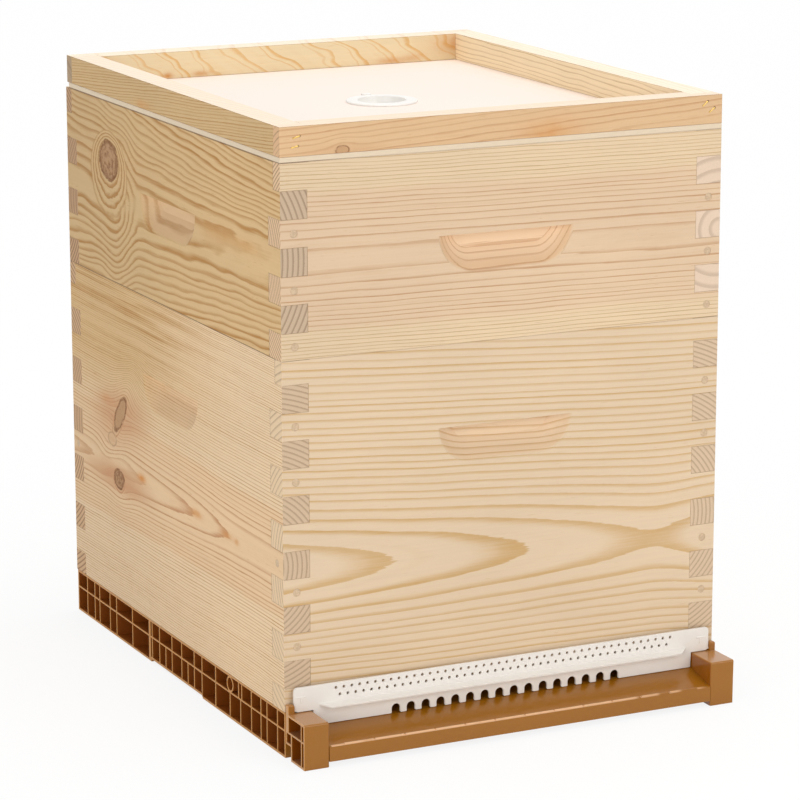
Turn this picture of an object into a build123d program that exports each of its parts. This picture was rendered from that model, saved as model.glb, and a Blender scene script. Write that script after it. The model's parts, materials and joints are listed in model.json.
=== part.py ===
from build123d import *
import os

# A Dadant hive with a brood box, one honey super and an inner cover, on a moulded plastic floor.
# Millimetres. +Z is up, -Y is the entrance side, and the origin is at the middle of the footprint,
# on the ground.

# Boxes
hive_width = 430.0  # outside of the boxes, left to right
hive_depth = 503.6  # outside of the boxes, front to back
board = 25.0  # thickness of the box boards
brood_height = 311.8
super_height = 170.0
finger = 24.5  # height of one corner finger
rebate = 11.0  # depth of the frame rebate in the front and back boards
grip_width = 132.0  # handhold, along its straight top edge
grip_drop = 33.0  # handhold, from its top edge to its round rim
grip_depth = 12.0
grip_slope = 19.0  # how far the handhold's floor runs in from its rim
grip_below_top = 74.0  # from the top of a box to the handhold's top edge
peg_diameter = 7.0
peg_length = 50.0
peg_clearance = 0.05
brood_end_pegs = (2, 3, 5, 6)  # pegged fingers of the front and back boards, from the bottom
brood_side_pegs = (3,)  # pegged fingers of the side boards, from the bottom
super_end_pegs = (1, 2, 3)
super_side_pegs = ()
rest_thickness = 1.2  # metal strip that the frame lugs lie on
rest_end_gap = 1.0

# Frames
brood_frames = 10
super_frames = 8
bee_space = 7.5  # between a frame's side bars and the end boards
lug_end_gap = 1.0
lug_height = 10.0
bar_width = 25.0
bottom_bar_width = 20.0
bottom_bar_height = 10.0
side_bar = 8.0  # thickness of the side bars
top_block = 9.0  # deeper middle of the top bar, under the lugs
glue_line = 0.05
foundation = 2.4
brood_frame_foot = 1.2  # frame's bottom above the bottom of its box
super_frame_foot = 5.0

# Inner cover
cover_depth = 500.0  # rims, front to back
panel_depth = 496.0
panel = 5.0
rim_width = 25.0
rim_height = 26.0
rim_lap = 12.0  # how far the side rims reach into the front and back rims
feed_hole = 58.0
plug_clearance = 0.3
plug_flange = 67.0  # diameter
plug_flange_height = 2.0
plug_dish = 45.0  # diameter of the dish at its top
plug_dish_depth = 8.0
plug_wall = 1.8
plug_skirt = 7.0  # reach of the skirt below the panel's top
plug_tab = (9.0, 6.0, 3.2)  # width, reach, height
plug_tab_angle = 90.0
staple_crown = 7.0
staple_leg = 18.0
staple_wire = 1.1
staple_proud = 0.4
# Staples at the left and right ends: in from the side, up the rim, tilt in degrees
left_staples = ((15.5, 16.5, 15.0), (14.0, 8.3, 12.0))
right_staples = ((17.5, 18.3, 40.0), (10.5, 12.3, 36.0))

# Floor
floor_height = 41.2
floor_depth = 501.6  # from the front face of the boxes
skin = 2.0  # walls of the floor mouldings
rib = 1.6
mid_rib_drop = 16.7  # from the floor's top to the middle of its level rib
entrance = 14.2  # height of the entrance, from the deck to the brood box
deck = 3.0
floor_split = 313.0  # front face of the boxes to the seam of the two floor mouldings
seam_gap = 0.2
foot_lift = 2.5  # how far the front moulding's rear stretch clears the ground
front_foot = 184.5  # length of the front moulding that stands on the ground
hook_reach = 4.0
floor_lip = 1.0  # how far the floor reaches past the front of the boxes
ring_bite = 0.5  # how far the round boss in the side lattice runs into the ribs above and below it
# Places of the upright ribs, as shares of each moulding's length from its front end
front_upper_ribs = (0.054, 0.126, 0.168, 0.235, 0.303, 0.326, 0.493, 0.594, 0.653, 0.749, 0.824, 0.922,
                    0.980)
front_lower_ribs = (0.054, 0.126, 0.168, 0.235, 0.312, 0.388, 0.493, 0.594, 0.653, 0.701, 0.749, 0.824,
                    0.873, 0.922, 0.980)
ring_share = 0.387
rear_ribs = (0.232, 0.452, 0.543, 0.690, 0.759, 0.866)
back_ribs = 11
vent_slot = 46.0
vent_slot_width = 4.0
vent_slot_pitch = 10.0
vent_row_pitch = 56.0
vent_margin = 14.0
vent_start = 70.0  # plain deck behind the entrance
deck_rib_drop = 9.0
clip_width = 30.0
clip_pitch = 120.0
clip_count = 3
clip_plate = 2.5
clip_barb = 4.0
clip_gap = 0.3
rear_clip_reach = 12.0

# Landing board
landing_reach = 40.0  # from the front face of the boxes
landing_inset = 0.5  # in from the sides of the boxes
block_width = 24.0
block_drop = 0.3  # block tops below the floor's top
block_round = 1.8
block_rib_inset = 6.6  # last upright rib, in from the landing's front
heel_reach = 11.5  # foot of the blocks, from the front face of the boxes
heel_drop = 13.7  # step in the blocks, below the deck
landing_flat = 5.0  # level stretch of the deck, under the door
landing_fall = 8.4
fascia_gap = 4.7  # fascia's lower edge above the ground
bead = 1.8  # diameter of the bead along the front edge
bead_pitch = 29.5
bead_notch = 1.6
post_width = 6.0
post_depth = 6.0
post_rise = 8.0  # post tops above the floor's top
post_round = 1.6

# Entrance door
door_thickness = 2.4
door_rise = 22.3  # upper edge above the floor's top
door_corner = 3.5
door_end_gap = 0.3
door_block_gap = 0.7
door_deck_gap = 0.4
vane_end_gap = 0.8
pin_rise = 2.0  # hinge axis above the floor's top
pin_length = 4.0
pin_clearance = 0.05
pin_end_gap = 0.3
lip_rise = 5.3  # root of the rain lip above the floor's top
lip_reach = 8.0
lip_fall = 1.9
lip_thickness = 1.8
lip_inset = 30.5
lip_mitre = 8.8
vent_hole = 2.7
vent_hole_pitch = 7.634
vent_hole_inset = 40.0  # first hole of the upper row, in from the door's end
vent_hole_drops = (4.6, 11.1)  # rows, below the door's upper edge
arch_count = 16
arch_pitch = 14.65
arch_width = 8.4
arch_height = 8.9
tooth_round = 1.0

# Faces and levels that follow from those sizes
overall_depth = landing_reach + hive_depth
front = landing_reach - overall_depth / 2
back = front + hive_depth
middle = (front + back) / 2
cover_back = front + cover_depth
cover_middle = (front + cover_back) / 2
floor_back = front + floor_depth
side = hive_width / 2
inner_width = hive_width - 2 * board
inner_depth = hive_depth - 2 * board
brood_bottom = floor_height
super_bottom = brood_bottom + brood_height
cover_bottom = super_bottom + super_height
rim_bottom = cover_bottom + panel
deck_level = floor_height - entrance
mid_rib = floor_height - mid_rib_drop
pin_level = floor_height + pin_rise
pin_reach = floor_lip + post_depth / 2
pin_diameter = door_thickness

os.makedirs("parts", exist_ok=True)


def save(part, name):
    """Label a finished piece and write it under its own name."""
    part.label = name
    export_step(part, f"parts/{name}.step")


def outside(name, bottom):
    """Outer face of a box board: origin at its foot, x along the board, y up, z outwards."""
    faces = {
        "front": ((0, front, bottom), (1, 0, 0), (0, -1, 0)),
        "back": ((0, back, bottom), (-1, 0, 0), (0, 1, 0)),
        "left": ((-side, middle, bottom), (0, -1, 0), (-1, 0, 0)),
        "right": ((side, middle, bottom), (0, 1, 0), (1, 0, 0)),
    }
    origin, along, outwards = faces[name]
    return Plane(origin=origin, x_dir=along, z_dir=outwards)


def fingers(height, first):
    """Spans of the corner fingers: first 0 for the front and back boards, 1 for the side boards."""
    inner = 2 * int((height / finger - 1) / 2) + 1
    end = (height - inner * finger) / 2
    edges = [0.0] + [end + finger * step for step in range(inner + 1)] + [height]
    return list(zip(edges[:-1], edges[1:]))[first::2]


def pegs(bottom, height, end_pegs, side_pegs, diameter):
    """Round pegs driven through the pegged fingers at all four corners of a box."""
    rows = {
        "front": (end_pegs, 0, hive_width),
        "back": (end_pegs, 0, hive_width),
        "left": (side_pegs, 1, hive_depth),
        "right": (side_pegs, 1, hive_depth),
    }
    with BuildPart() as pegs_part:
        for name, (numbers, first, length) in rows.items():
            levels = [(low + high) / 2 for low, high in fingers(height, first)]
            spots = [(end * (length - board) / 2, levels[number - 1])
                     for number in numbers if number <= len(levels) for end in (-1, 1)]
            if spots:
                with BuildSketch(outside(name, bottom)):
                    with Locations(*spots):
                        Circle(diameter / 2)
                extrude(amount=-peg_length)
    return pegs_part.part


def handhold(face, height):
    """Recess to lift a box by: a square ledge on top, and a floor that slopes out to a round rim."""
    top = height - grip_below_top
    centre = grip_width / 2 - grip_drop
    with BuildPart() as recess:
        for depth, run_in in ((0.0, 0.0), (grip_depth, grip_slope)):
            radius = grip_drop - run_in
            with BuildSketch(face.offset(-depth)):
                with BuildLine():
                    Line((-centre - radius, top), (centre + radius, top))
                    CenterArc((centre, top), radius, 0, -90)
                    Line((centre, top - radius), (-centre, top - radius))
                    CenterArc((-centre, top), radius, -90, -90)
                make_face()
        loft(ruled=True)
    return recess.part


def end_board(face, height):
    """Front or back board: corner fingers, and the frame rebate along its top inside edge."""
    low, high = fingers(height, 0)[-1]
    with BuildPart() as blank:
        with BuildSketch(face):
            with Locations((0, height / 2)):
                Rectangle(hive_width, height)
            for foot, top in fingers(height, 1):
                with Locations((-(hive_width - board) / 2, (foot + top) / 2),
                               ((hive_width - board) / 2, (foot + top) / 2)):
                    Rectangle(board, top - foot, mode=Mode.SUBTRACT)
        extrude(amount=-board)
        with BuildSketch(face.offset(rebate - board)):
            with Locations((0, (low + high) / 2)):
                Rectangle(hive_width, high - low)
        extrude(amount=-rebate, mode=Mode.SUBTRACT)
    return blank.part


def side_board(face, height, ends):
    """Side board: what the front and back boards leave of a plain board."""
    with BuildPart() as blank:
        with BuildSketch(face):
            with Locations((0, height / 2)):
                Rectangle(hive_depth, height)
        extrude(amount=-board)
        add(ends, mode=Mode.SUBTRACT)
    return blank.part


def save_box(name, bottom, height, end_pegs, side_pegs):
    """One hive box: four boards, the pegs of its corners and the two frame rests."""
    faces = {key: outside(key, bottom) for key in ("front", "back", "left", "right")}
    blanks = {key: end_board(faces[key], height) for key in ("front", "back")}
    ends = [blanks["front"], blanks["back"]]
    blanks["left"] = side_board(faces["left"], height, ends)
    blanks["right"] = side_board(faces["right"], height, ends)
    holes = pegs(bottom, height, end_pegs, side_pegs, peg_diameter + 2 * peg_clearance)
    for key, blank in blanks.items():
        recess = handhold(faces[key], height)
        with BuildPart() as box_board:
            add(blank)
            add(recess, mode=Mode.SUBTRACT)
            add(holes, mode=Mode.SUBTRACT)
        save(box_board.part, f"{name}_{key}_board")

    save(pegs(bottom, height, end_pegs, side_pegs, peg_diameter), f"{name}_corner_pegs")

    with BuildPart() as rests:
        with BuildSketch(Plane.XY.offset(rest_level(bottom, height))):
            with Locations((0, front + board - rebate / 2), (0, back - board + rebate / 2)):
                Rectangle(inner_width - 2 * rest_end_gap, rebate)
        extrude(amount=rest_thickness)
    save(rests.part, f"{name}_frame_rests")


def rest_level(bottom, height):
    """Level of the rebate's floor, which is the foot of the top finger."""
    return bottom + fingers(height, 0)[-1][0]


def save_frames(name, count, bottom, height, foot):
    """Hanging frames side by side: four bars in one node and the foundation sheet in another."""
    lug_level = rest_level(bottom, height) + rest_thickness
    frame_foot = bottom + foot
    bar_side_gap = bee_space + side_bar + glue_line
    span = inner_depth - 2 * bar_side_gap
    bar_top = frame_foot + bottom_bar_height
    block_level = lug_level - top_block
    side_top = lug_level - glue_line
    side_y = inner_depth / 2 - bee_space - side_bar / 2
    pitch = inner_width / count
    for number in range(count):
        across = (number - (count - 1) / 2) * pitch
        with BuildPart() as bars:
            with BuildSketch(Plane.XY.offset(lug_level)):
                with Locations((across, middle)):
                    Rectangle(bar_width, inner_depth + 2 * (rebate - lug_end_gap))
            extrude(amount=lug_height)
            with BuildSketch(Plane.XY.offset(lug_level)):
                with Locations((across, middle)):
                    Rectangle(bar_width, span)
            extrude(amount=-top_block)
            with BuildSketch(Plane.XY.offset(frame_foot)):
                with Locations((across, middle - side_y), (across, middle + side_y)):
                    Rectangle(bar_width, side_bar)
            extrude(amount=side_top - frame_foot)
            with BuildSketch(Plane.XY.offset(frame_foot)):
                with Locations((across, middle)):
                    Rectangle(bottom_bar_width, span)
            extrude(amount=bottom_bar_height)
        save(bars.part, f"{name}_frame_{number + 1:02d}")

        with BuildPart() as sheet:
            with BuildSketch(Plane.XY.offset(bar_top + glue_line)):
                with Locations((across, middle)):
                    Rectangle(foundation, span)
            extrude(amount=block_level - bar_top - 2 * glue_line)
        save(sheet.part, f"{name}_foundation_{number + 1:02d}")


def lattice(face, length, upper, lower, foot_at):
    """Pockets between the ribs of a moulded wall, cut from its outer face."""
    with BuildPart() as pockets:
        with BuildSketch(face):
            for stations, is_upper in ((upper, True), (lower, False)):
                centres = [skin - rib / 2] + [share * length for share in stations]
                centres.append(length - skin + rib / 2)
                for start, stop in zip(centres[:-1], centres[1:]):
                    low = mid_rib + rib / 2 if is_upper else skin + foot_at((start + stop) / 2)
                    high = floor_height - skin if is_upper else mid_rib - rib / 2
                    with Locations(((start + stop) / 2, (low + high) / 2)):
                        Rectangle(stop - start - rib, high - low)
        extrude(amount=skin - board)
    return pockets.part


def slot_rows(length):
    """Rows and columns of vent slots that fit a stretch of deck."""
    rows = max(1, int(length / vent_row_pitch))
    columns = int((inner_width - 2 * vent_margin) / vent_slot_pitch)
    return rows, columns


# Floor, front moulding
front_length = floor_lip + floor_split - seam_gap / 2
front_side = Plane(origin=(side, front - floor_lip, 0), x_dir=(0, 1, 0), z_dir=(1, 0, 0))
front_pockets = lattice(front_side, front_length, front_upper_ribs, front_lower_ribs,
                        lambda along: foot_lift if along > front_foot else 0.0)
seam = front + floor_split
ring_low = mid_rib + rib / 2 - ring_bite
ring_high = floor_height - skin + ring_bite
heel_level = deck_level - heel_drop
clip_top = heel_level - clip_gap
clip_spots = [((number - (clip_count - 1) / 2) * clip_pitch, 0.0) for number in range(clip_count)]
vent_length = floor_split - vent_start - rear_clip_reach - vent_margin
with BuildPart() as floor_front:
    with BuildSketch(front_side):
        with BuildLine():
            Polyline((0, 0), (front_foot, 0), (front_foot + foot_lift, foot_lift),
                     (front_length, foot_lift), (front_length, floor_height), (0, floor_height), close=True)
        make_face()
    extrude(amount=-board)
    add(front_pockets, mode=Mode.SUBTRACT)
    with BuildSketch(front_side):
        with Locations((ring_share * front_length, (ring_low + ring_high) / 2)):
            Circle((ring_high - ring_low) / 2)
            Circle((ring_high - ring_low) / 2 - rib, mode=Mode.SUBTRACT)
    extrude(amount=-board)
    mirror(about=Plane.YZ)
    front_rows, vent_columns = slot_rows(vent_length)
    with BuildSketch(Plane.XY.offset(deck_level)):
        with Locations((0, front - floor_lip + front_length / 2)):
            Rectangle(inner_width, front_length)
        with Locations((0, front + vent_start + vent_length / 2)):
            with GridLocations(vent_slot_pitch, vent_row_pitch, vent_columns, front_rows):
                SlotOverall(vent_slot, vent_slot_width, rotation=90, mode=Mode.SUBTRACT)
        with Locations(*[(across, seam - rear_clip_reach + clip_gap) for across, _ in clip_spots]):
            Rectangle(clip_width + 2 * clip_gap, clip_plate + 2 * clip_gap, mode=Mode.SUBTRACT)
    extrude(amount=-deck)
    with BuildSketch(Plane.XY.offset(deck_level - deck)):
        with Locations((0, front + vent_start + vent_length / 2)):
            with GridLocations(vent_slot_pitch, vent_row_pitch, 1, front_rows + 1):
                Rectangle(inner_width, rib)
    extrude(amount=-deck_rib_drop)
    with BuildSketch(Plane.XY.offset(deck_level)):
        with Locations((0, front)):
            Rectangle(inner_width, 2 * floor_lip)
    extrude(amount=clip_top - clip_plate - deck_level)
    with BuildSketch(Plane.XY.offset(clip_top)):
        with Locations(*[(across, front - (heel_reach + skin + clip_gap + clip_plate) / 2)
                         for across, _ in clip_spots]):
            Rectangle(clip_width, heel_reach + skin + clip_gap + clip_plate)
    extrude(amount=-clip_plate)
    with BuildSketch(Plane.XY.offset(clip_top)):
        with Locations(*[(across, front - heel_reach - skin - clip_gap - clip_plate / 2)
                         for across, _ in clip_spots]):
            Rectangle(clip_width, clip_plate)
    extrude(amount=clip_barb)
save(floor_front.part, "floor_front_moulding")

# Floor, rear moulding: side beams, back beam, deck, and the clips that hook under the front deck
rear_length = floor_back - seam - seam_gap / 2
rear_side = Plane(origin=(side, seam + seam_gap / 2, 0), x_dir=(0, 1, 0), z_dir=(1, 0, 0))
rear_pockets = lattice(rear_side, rear_length, rear_ribs, rear_ribs, lambda along: 0.0)
back_face = Plane(origin=(inner_width / 2, floor_back, 0), x_dir=(-1, 0, 0), z_dir=(0, 1, 0))
back_shares = [(number + 1) / (back_ribs + 1) for number in range(back_ribs)]
back_pockets = lattice(back_face, inner_width, back_shares, back_shares, lambda along: 0.0)
rear_deck = rear_length - board
with BuildPart() as floor_rear:
    with BuildSketch(rear_side):
        with Locations((rear_length / 2, floor_height / 2)):
            Rectangle(rear_length, floor_height)
        with Locations((-hook_reach / 2, (foot_lift - seam_gap) / 2)):
            Rectangle(hook_reach, foot_lift - seam_gap)
    extrude(amount=-board)
    add(rear_pockets, mode=Mode.SUBTRACT)
    mirror(about=Plane.YZ)
    with BuildSketch(back_face):
        with Locations((inner_width / 2, floor_height / 2)):
            Rectangle(inner_width, floor_height)
    extrude(amount=-board)
    add(back_pockets, mode=Mode.SUBTRACT)
    rear_rows, vent_columns = slot_rows(rear_deck - vent_margin)
    with BuildSketch(Plane.XY.offset(deck_level)):
        with Locations((0, seam + seam_gap / 2 + rear_deck / 2)):
            Rectangle(inner_width, rear_deck)
            with GridLocations(vent_slot_pitch, vent_row_pitch, vent_columns, rear_rows):
                SlotOverall(vent_slot, vent_slot_width, rotation=90, mode=Mode.SUBTRACT)
    extrude(amount=-deck)
    with BuildSketch(Plane.XY.offset(deck_level - deck)):
        with Locations((0, seam + seam_gap / 2 + rear_deck / 2)):
            with GridLocations(vent_slot_pitch, vent_row_pitch, 1, max(1, rear_rows - 1)):
                Rectangle(inner_width, rib)
    extrude(amount=-deck_rib_drop)
    with BuildSketch(Plane.XY.offset(deck_level - deck - clip_gap)):
        with Locations(*[(across, seam) for across, _ in clip_spots]):
            Rectangle(clip_width, 2 * rear_clip_reach)
    extrude(amount=-clip_plate)
    with BuildSketch(Plane.XY.offset(deck_level - deck - clip_gap)):
        with Locations(*[(across, seam + rear_clip_reach / 2 + seam_gap) for across, _ in clip_spots]):
            Rectangle(clip_width, rear_clip_reach)
    extrude(amount=clip_gap)
    with BuildSketch(Plane.XY.offset(deck_level - deck - clip_gap)):
        with Locations(*[(across, seam - rear_clip_reach + clip_gap) for across, _ in clip_spots]):
            Rectangle(clip_width, clip_plate)
    extrude(amount=deck + clip_gap)
save(floor_rear.part, "floor_rear_moulding")

# Landing board: two open-sided end blocks, the sloping deck between them and the door's posts
block_top = floor_height - block_drop
block_side = Plane(origin=(-side + landing_inset, front, 0), x_dir=(0, -1, 0), z_dir=(-1, 0, 0))
post_top = floor_height + post_rise
deck_front = deck_level - landing_fall
deck_span = hive_width - 2 * (landing_inset + block_width)
rib_reach = landing_reach - block_rib_inset
fascia_back = landing_reach - skin
bead_count = int(deck_span / bead_pitch)


def deck_underside(reach):
    """Level of the landing deck's underside at a distance in front of the boxes."""
    return deck_level - skin - landing_fall * (reach - landing_flat) / (landing_reach - landing_flat)


block_pockets = (
    (floor_lip + post_depth, rib_reach - rib / 2, mid_rib + rib / 2, block_top - skin),
    (rib_reach + rib / 2, fascia_back, mid_rib + rib / 2, block_top - skin),
    (floor_lip + skin, heel_reach, heel_level + skin, mid_rib - rib / 2),
    (heel_reach + skin, rib_reach - rib / 2, skin, mid_rib - rib / 2),
    (rib_reach + rib / 2, fascia_back, skin, mid_rib - rib / 2),
)
with BuildPart() as landing:
    with BuildSketch(block_side):
        with BuildLine():
            Polyline((floor_lip, heel_level), (floor_lip, block_top), (landing_reach, block_top),
                     (landing_reach, 0), (heel_reach, 0), (heel_reach, heel_level), close=True)
        make_face()
    extrude(amount=-block_width)
    block_corner = Vector(-side + landing_inset + block_width, front - landing_reach, block_top)
    fillet([edge for edge in landing.edges() if (edge @ 0 - block_corner).length < skin / 2
            or (edge @ 1 - block_corner).length < skin / 2], radius=block_round)
    with BuildSketch(block_side):
        for start, stop, low, high in block_pockets:
            with Locations(((start + stop) / 2, (low + high) / 2)):
                Rectangle(stop - start, high - low)
    extrude(amount=skin - block_width, mode=Mode.SUBTRACT)
    with BuildSketch(block_side):
        with Locations((floor_lip + post_depth / 2, (mid_rib + post_top) / 2)):
            Rectangle(post_depth, post_top - mid_rib)
    extrude(amount=-post_width)
    fillet(landing.faces().sort_by(Axis.Z)[-1].edges(), radius=post_round)
    with BuildSketch(block_side.offset(-post_width)):
        with Locations((pin_reach, pin_level)):
            Circle(pin_diameter / 2 + pin_clearance)
    extrude(amount=pin_length - door_end_gap + pin_end_gap, mode=Mode.SUBTRACT)
    mirror(about=Plane.YZ)
    with BuildSketch(Plane(origin=(0, front, 0), x_dir=(0, -1, 0), z_dir=(-1, 0, 0))):
        with BuildLine():
            Polyline((floor_lip, deck_level), (landing_flat, deck_level), (landing_reach, deck_front),
                     (landing_reach, fascia_gap), (fascia_back, fascia_gap),
                     (fascia_back, deck_underside(fascia_back)),
                     (heel_reach + skin, deck_underside(heel_reach + skin)),
                     (heel_reach + skin, heel_level), (heel_reach, heel_level),
                     (heel_reach, deck_underside(heel_reach)), (landing_flat, deck_level - skin),
                     (floor_lip, deck_level - skin), close=True)
        make_face()
    extrude(amount=deck_span / 2, both=True)
    with Locations((0, front - landing_reach + bead / 2, deck_front + bead / 4)):
        with GridLocations(bead_pitch, 1, bead_count, 1):
            Cylinder(bead / 2, bead_pitch - bead_notch, rotation=(0, 90, 0))
save(landing.part, "landing_board")

# Entrance door: a plate with vent holes, a rain lip and an arched vane, on two end pins
door_half = side - landing_inset - post_width - door_end_gap
vane_half = deck_span / 2 - vane_end_gap
door_top = floor_height + door_rise
door_foot = block_top + door_block_gap
vane_foot = deck_level + door_deck_gap
door_back = Plane(origin=(0, front - pin_reach + door_thickness / 2, 0), x_dir=(1, 0, 0), z_dir=(0, -1, 0))
vent_count = int((2 * door_half - 2 * vent_hole_inset) / vent_hole_pitch) + 1
lip_root = (0, front - pin_reach - door_thickness / 2, floor_height + lip_rise)
lip_slope = Plane(origin=lip_root, x_dir=(1, 0, 0), z_dir=(0, -lip_fall, lip_reach))
lip_length = (lip_reach ** 2 + lip_fall ** 2) ** 0.5
lip_half = side - lip_inset
arch_spring = deck_level + arch_height - arch_width / 2
with BuildPart() as door:
    with BuildSketch(door_back):
        with Locations((0, (door_top + door_foot) / 2)):
            RectangleRounded(2 * door_half, door_top - door_foot, door_corner)
        with Locations((0, (vane_foot + pin_level) / 2)):
            Rectangle(2 * vane_half, pin_level - vane_foot)
        with GridLocations(arch_pitch, 1, arch_count, 1):
            with Locations((0, arch_spring)):
                Circle(arch_width / 2, mode=Mode.SUBTRACT)
            with Locations((0, (arch_spring + vane_foot) / 2)):
                Rectangle(arch_width, arch_spring - vane_foot, mode=Mode.SUBTRACT)
        for row, drop in enumerate(vent_hole_drops):
            with Locations((0, door_top - drop)):
                with GridLocations(vent_hole_pitch, 1, vent_count - row, 1):
                    Circle(vent_hole / 2, mode=Mode.SUBTRACT)
    extrude(amount=door_thickness)
    fillet([edge for edge in door.edges().filter_by(Axis.Y)
            if abs(edge.center().Z - vane_foot) < tooth_round / 2], radius=tooth_round)
    with BuildSketch(lip_slope):
        with BuildLine():
            Polyline((-lip_half, door_thickness / 2), (lip_half, door_thickness / 2), (lip_half, 0),
                     (lip_half - lip_mitre, -lip_length), (lip_mitre - lip_half, -lip_length),
                     (-lip_half, 0), close=True)
        make_face()
    extrude(amount=-lip_thickness)
    with Locations((0, front - pin_reach, pin_level)):
        with GridLocations(2 * door_half + pin_length - door_thickness, 1, 2, 1):
            Cylinder(pin_diameter / 2, pin_length + door_thickness, rotation=(0, 90, 0))
save(door.part, "entrance_door")

# Boxes and what hangs in them
save_box("brood", brood_bottom, brood_height, brood_end_pegs, brood_side_pegs)
save_frames("brood", brood_frames, brood_bottom, brood_height, brood_frame_foot)
save_box("super", super_bottom, super_height, super_end_pegs, super_side_pegs)
save_frames("super", super_frames, super_bottom, super_height, super_frame_foot)

# Inner cover: the panel with its feed hole
with BuildPart() as cover_panel:
    with BuildSketch(Plane.XY.offset(cover_bottom)):
        with Locations((0, front + panel_depth / 2)):
            Rectangle(hive_width, panel_depth)
        with Locations((0, cover_middle)):
            Circle(feed_hole / 2, mode=Mode.SUBTRACT)
    extrude(amount=panel)
save(cover_panel.part, "cover_panel")

# Inner cover: wire staples through the end rims into the ends of the side rims
with BuildPart() as staples:
    for face_y, outwards in ((front, -1), (cover_back, 1)):
        for end, spots in ((-1, left_staples), (1, right_staples)):
            for inset, rise, tilt in spots:
                spot = (end * (side - inset), face_y + outwards * staple_proud, rim_bottom + rise)
                along = Vector(1, 0, 0).rotate(Axis.Y, -tilt)
                crown = Plane(origin=spot, x_dir=along, z_dir=(0, outwards, 0))
                with BuildSketch(crown):
                    Rectangle(staple_crown, staple_wire)
                extrude(amount=-staple_wire)
                with BuildSketch(crown):
                    with GridLocations(staple_crown - staple_wire, 1, 2, 1):
                        Rectangle(staple_wire, staple_wire)
                extrude(amount=-staple_leg)
save(staples.part, "cover_staples")

# Inner cover: rims, with the side rims let into the ends of the front and back rims
lap_edge = rim_width - rim_lap
for rim_name, face_y, inwards in (("front", front, 1), ("back", cover_back, -1)):
    with BuildPart() as end_rim:
        with BuildSketch(Plane.XY.offset(rim_bottom)):
            with Locations((0, face_y + inwards * rim_width / 2)):
                Rectangle(hive_width, rim_width)
            with Locations(*[(end * (side - rim_width / 2), face_y + inwards * (lap_edge + rim_lap / 2))
                             for end in (-1, 1)]):
                Rectangle(rim_width, rim_lap, mode=Mode.SUBTRACT)
        extrude(amount=rim_height)
        add(staples.part, mode=Mode.SUBTRACT)
    save(end_rim.part, f"cover_{rim_name}_rim")
for rim_name, end in (("left", -1), ("right", 1)):
    with BuildPart() as side_rim:
        with BuildSketch(Plane.XY.offset(rim_bottom)):
            with Locations((end * (side - rim_width / 2), cover_middle)):
                Rectangle(rim_width, cover_depth - 2 * lap_edge)
        extrude(amount=rim_height)
        add(staples.part, mode=Mode.SUBTRACT)
    save(side_rim.part, f"cover_{rim_name}_rim")

# Feed hole plug: a dished moulding whose flange rests on the panel
skirt_radius = feed_hole / 2 - plug_clearance
dish_radius = plug_dish / 2
dish_floor = plug_flange_height - plug_dish_depth
dish_draft = plug_wall
with BuildPart() as plug:
    with BuildSketch(Plane(origin=(0, cover_middle, rim_bottom), x_dir=(1, 0, 0), z_dir=(0, -1, 0))):
        with BuildLine():
            Polyline((0, dish_floor - plug_wall),
                     (dish_radius - dish_draft + plug_wall, dish_floor - plug_wall),
                     (dish_radius + plug_wall, 0), (skirt_radius - plug_wall, 0),
                     (skirt_radius - plug_wall, -plug_skirt), (skirt_radius, -plug_skirt), (skirt_radius, 0),
                     (plug_flange / 2, 0), (plug_flange / 2, plug_flange_height / 2),
                     (plug_flange / 2 - plug_flange_height / 2, plug_flange_height),
                     (dish_radius, plug_flange_height), (dish_radius - dish_draft, dish_floor),
                     (0, dish_floor), close=True)
        make_face()
    revolve(axis=Axis((0, cover_middle, 0), (0, 0, 1)))
    tab_width, tab_reach, tab_height = plug_tab
    with BuildSketch(Plane(origin=(0, cover_middle, rim_bottom)).rotated((0, 0, plug_tab_angle))):
        with Locations((plug_flange / 2, 0)):
            RectangleRounded(tab_reach, tab_width, tab_reach / 4)
    extrude(amount=tab_height)
save(plug.part, "feed_hole_plug")
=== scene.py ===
import json
import math

import bmesh
import bpy
from bpy.props import FloatProperty, FloatVectorProperty, PointerProperty
from mathutils import Matrix, Vector


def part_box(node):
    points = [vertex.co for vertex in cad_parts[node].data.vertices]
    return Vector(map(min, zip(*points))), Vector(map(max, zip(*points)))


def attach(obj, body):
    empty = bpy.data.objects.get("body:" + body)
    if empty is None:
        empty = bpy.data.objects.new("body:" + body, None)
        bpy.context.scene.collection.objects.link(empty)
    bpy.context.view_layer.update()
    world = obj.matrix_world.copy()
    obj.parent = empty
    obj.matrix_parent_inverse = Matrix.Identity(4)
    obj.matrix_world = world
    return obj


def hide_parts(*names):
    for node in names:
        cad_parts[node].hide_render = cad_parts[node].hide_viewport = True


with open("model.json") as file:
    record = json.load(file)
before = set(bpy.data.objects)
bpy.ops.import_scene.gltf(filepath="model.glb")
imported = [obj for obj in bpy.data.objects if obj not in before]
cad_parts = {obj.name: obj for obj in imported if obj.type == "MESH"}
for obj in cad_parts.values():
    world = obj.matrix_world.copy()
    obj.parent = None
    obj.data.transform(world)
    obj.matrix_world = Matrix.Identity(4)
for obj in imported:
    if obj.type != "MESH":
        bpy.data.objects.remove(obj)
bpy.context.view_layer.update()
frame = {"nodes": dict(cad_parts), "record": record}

bl_info = {
    "name": "Framed beehive",
    "version": (1, 0, 0),
    "blender": (4, 5, 0),
    "location": "View3D > Sidebar > Hive",
    "description": "Dresses the hive's solids as planed pine, moulded plastic, wire and wax",
    "category": "Object",
}

MM = 0.001
BODIES = frame["record"]["behaviour"]["bodies"]
BODY_OF = {node: body for body, nodes in BODIES.items() for node in nodes}


def box_mm(node):
    """Lowest and highest corner of a solid, in millimetres."""
    return [[part / MM for part in corner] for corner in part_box(node)]


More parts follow.
